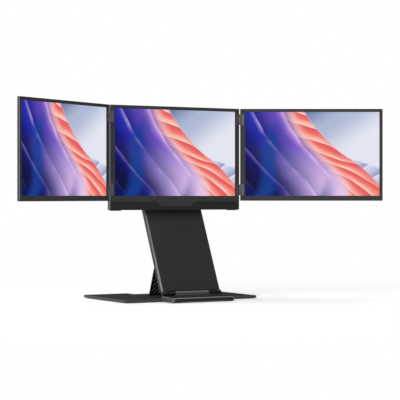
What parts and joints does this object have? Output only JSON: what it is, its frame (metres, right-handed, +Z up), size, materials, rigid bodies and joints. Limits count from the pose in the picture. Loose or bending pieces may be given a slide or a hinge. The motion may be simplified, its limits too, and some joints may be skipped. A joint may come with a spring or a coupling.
{
  "type": "laptop screen extender",
  "caption": "Folding laptop screen extender: side displays hinged to a centre display on a leaning column with a fold-out rear brace and a flat weighted base.",
  "frame": {"origin": "centre of the base plate's rubber mat, on the surface the base stands on", "axes": "+Z up, the displays face -Y, +X to the right as the displays are read"},
  "size_m": [0.888, 0.2932, 0.4214],
  "materials": {
    "backlight_white": "satin",
    "base_metal": "fine satin",
    "bezel_plastic": "fine texture",
    "board": "satin",
    "brace_metal": "dark anodised",
    "button_plastic": "satin",
    "cast_weight": "plain",
    "chin_plastic": "satin",
    "column_metal": "dark anodised",
    "display_glass": "anti-glare",
    "foot_plastic": "fine texture",
    "hinge_metal": "satin",
    "leaf_metal": "satin",
    "port_metal": "satin",
    "rubber": "matte",
    "shell_metal": "dark anodised",
    "speaker_black": "matte",
    "steel": "satin"
  },
  "bodies": {
    "base": {"base_plate": "base_metal", "base_mat": "rubber", "foot_housing": "foot_plastic", "foot_bottom_cover": "foot_plastic", "foot_weight": "cast_weight", "foot_pads": "rubber", "foot_screws": "steel", "lower_hinge_block": "hinge_metal", "lower_hinge_pin": "steel", "friction_packs": "hinge_metal"},
    "column": {"column_front_shell": "column_metal", "column_back_cover": "column_metal", "lower_hinge_lugs": "hinge_metal", "upper_hinge_lugs": "hinge_metal", "hub_board": "board", "usb_c_ports": "port_metal", "hdmi_ports": "port_metal", "control_board": "board", "column_screws": "steel", "brace_hinge_pin": "steel", "tilt_hinge_pin": "steel"},
    "power_button": {"power_button": "button_plastic"},
    "brightness_up_button": {"brightness_up_button": "button_plastic"},
    "brightness_down_button": {"brightness_down_button": "button_plastic"},
    "brace": {"brace_plate": "brace_metal", "brace_foot_pad": "rubber", "brace_screws": "steel"},
    "centre_screen": {"centre_back_shell": "shell_metal", "centre_bezel": "bezel_plastic", "centre_chin_cover": "chin_plastic", "centre_display_panel": "display_glass", "centre_backlight": "backlight_white", "driver_board": "board", "speakers": "speaker_black", "chin_pads": "rubber", "tilt_hinge_bracket": "hinge_metal", "tilt_bracket_screws": "steel", "centre_back_screws": "steel", "centre_left_leaves": "leaf_metal", "centre_right_leaves": "leaf_metal", "left_seam_pins": "steel", "right_seam_pins": "steel"},
    "left_screen": {"left_back_shell": "shell_metal", "left_bezel": "bezel_plastic", "left_display_panel": "display_glass", "left_backlight": "backlight_white", "left_board": "board", "left_wing_leaves": "leaf_metal"},
    "right_screen": {"right_back_shell": "shell_metal", "right_bezel": "bezel_plastic", "right_display_panel": "display_glass", "right_backlight": "backlight_white", "right_board": "board", "right_wing_leaves": "leaf_metal"}
  },
  "joints": [
    {"name": "column_tilt", "type": "hinge", "parent": "base", "child": "column", "pos_m": [0, -0.0977, 0.0168], "axis": [-1, 0, 0], "range_deg": [0, 64.9]},
    {"name": "brace_swing", "type": "hinge", "parent": "column", "child": "brace", "pos_m": [0, -0.04385, 0.11525], "axis": [1, 0, 0], "range_deg": [0, 133.45]},
    {"name": "screen_tilt", "type": "hinge", "parent": "column", "child": "centre_screen", "pos_m": [0, 0.00071, 0.22689], "axis": [-1, 0, 0], "range_deg": [0, 25.1]},
    {"name": "left_screen_fold", "type": "hinge", "parent": "centre_screen", "child": "left_screen", "pos_m": [-0.16305, -0.02998, 0.31814], "axis": [0, 0, 1], "range_deg": [-30, 150]},
    {"name": "right_screen_fold", "type": "hinge", "parent": "centre_screen", "child": "right_screen", "pos_m": [0.1616, -0.03328, 0.31814], "axis": [0, 0, -1], "range_deg": [-30, 150]},
    {"name": "power_button_press", "type": "slide", "parent": "column", "child": "power_button", "axis": [1, 0, 0], "range_m": [0, 0.0005], "stiffness_N_per_m": 800, "springref_m": -0.0004},
    {"name": "brightness_up_button_press", "type": "slide", "parent": "column", "child": "brightness_up_button", "axis": [1, 0, 0], "range_m": [0, 0.0005], "stiffness_N_per_m": 800, "springref_m": -0.0004},
    {"name": "brightness_down_button_press", "type": "slide", "parent": "column", "child": "brightness_down_button", "axis": [1, 0, 0], "range_m": [0, 0.0005], "stiffness_N_per_m": 800, "springref_m": -0.0004}
  ],
  "couplings": [
    {"joint": "brace_swing", "follows": "column_tilt", "ratio": 2.0552}
  ]
}
